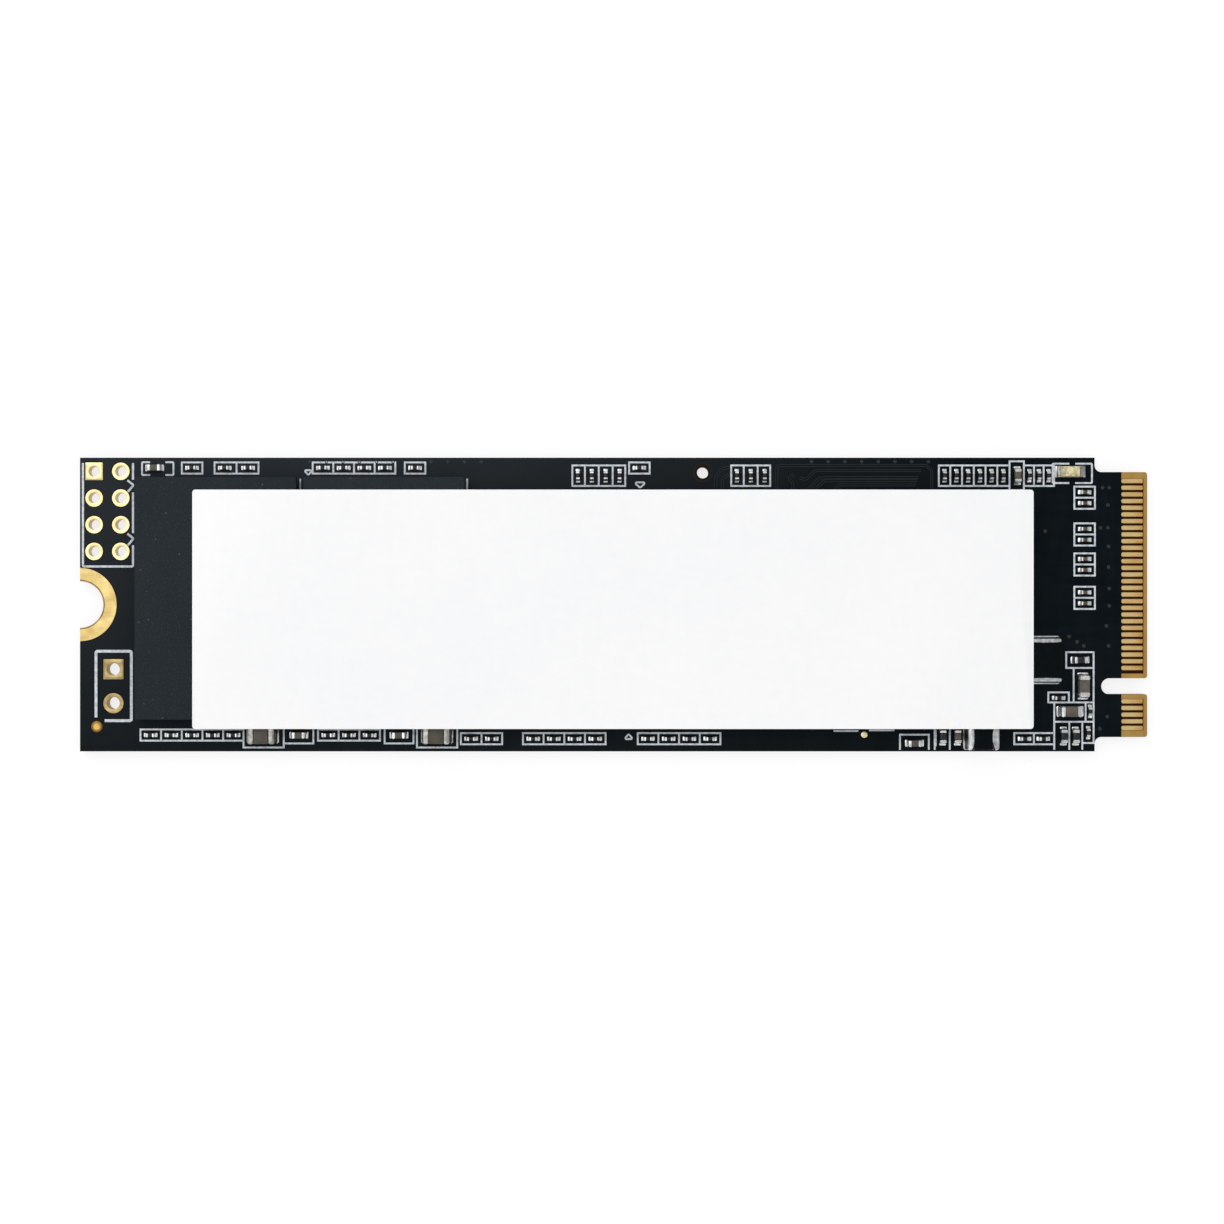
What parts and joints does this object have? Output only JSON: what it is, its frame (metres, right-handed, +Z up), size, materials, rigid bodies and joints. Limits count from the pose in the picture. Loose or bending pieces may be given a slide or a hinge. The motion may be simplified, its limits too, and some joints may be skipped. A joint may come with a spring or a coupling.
{
  "type": "gumstick solid state drive",
  "caption": "Narrow black circuit board with gold edge contacts, a key slot, a half-round screw notch, soldered chips and a blank white label; stores data.",
  "frame": {"origin": "middle of the board's footprint, on its underside", "axes": "+X along the board from the screw notch to the edge contacts, +Y across the board away from the key slot's side, +Z up through the chips and the label"},
  "size_m": [0.08, 0.022, 0.0022],
  "materials": {
    "solder_mask": "black solder mask lacquer over glass laminate, satin",
    "gold_plate": "thin gold plating over copper",
    "package_resin": "matt moulding resin",
    "metal_can": "plated lid",
    "label_paper": "blank white label stock",
    "dark_ceramic": "black glazed resistor body",
    "tan_ceramic": "brown fired ceramic",
    "moulded_core": "moulded metal powder, near black",
    "lamp_lens": "pale yellow lamp resin",
    "lamp_base": "pale lamp base",
    "solder_tin": "tinned ends with bright solder"
  },
  "bodies": {
    "root": {"circuit_board": "solder_mask", "contact_fingers_upper": "gold_plate", "contact_fingers_lower": "gold_plate", "mounting_pads": "gold_plate", "programming_header_pads": "gold_plate", "jumper_header_pads": "gold_plate", "test_pads": "gold_plate", "memory_chip_outer": "package_resin", "memory_chip_inner": "package_resin", "cache_chip": "package_resin", "controller_chip": "package_resin", "power_chip": "package_resin", "crystal": "metal_can", "label": "label_paper", "status_led_lens": "lamp_lens", "memory_resistors_upper": "dark_ceramic", "memory_resistors_upper_ends": "solder_tin", "memory_resistors_lower": "dark_ceramic", "memory_resistors_lower_ends": "solder_tin", "cache_resistors": "dark_ceramic", "cache_resistors_ends": "solder_tin", "controller_resistors": "dark_ceramic", "controller_resistors_ends": "solder_tin", "coupling_capacitors": "tan_ceramic", "coupling_capacitors_ends": "solder_tin", "power_resistors": "dark_ceramic", "power_resistors_ends": "solder_tin", "filter_capacitors": "tan_ceramic", "filter_capacitors_ends": "solder_tin", "power_capacitors": "tan_ceramic", "power_capacitors_ends": "solder_tin", "bulk_capacitors": "tan_ceramic", "bulk_capacitors_ends": "solder_tin", "status_led": "lamp_base", "status_led_ends": "solder_tin", "power_inductor": "moulded_core", "power_inductor_ends": "solder_tin", "filter_inductor": "moulded_core", "filter_inductor_ends": "solder_tin"}
  },
  "joints": []
}
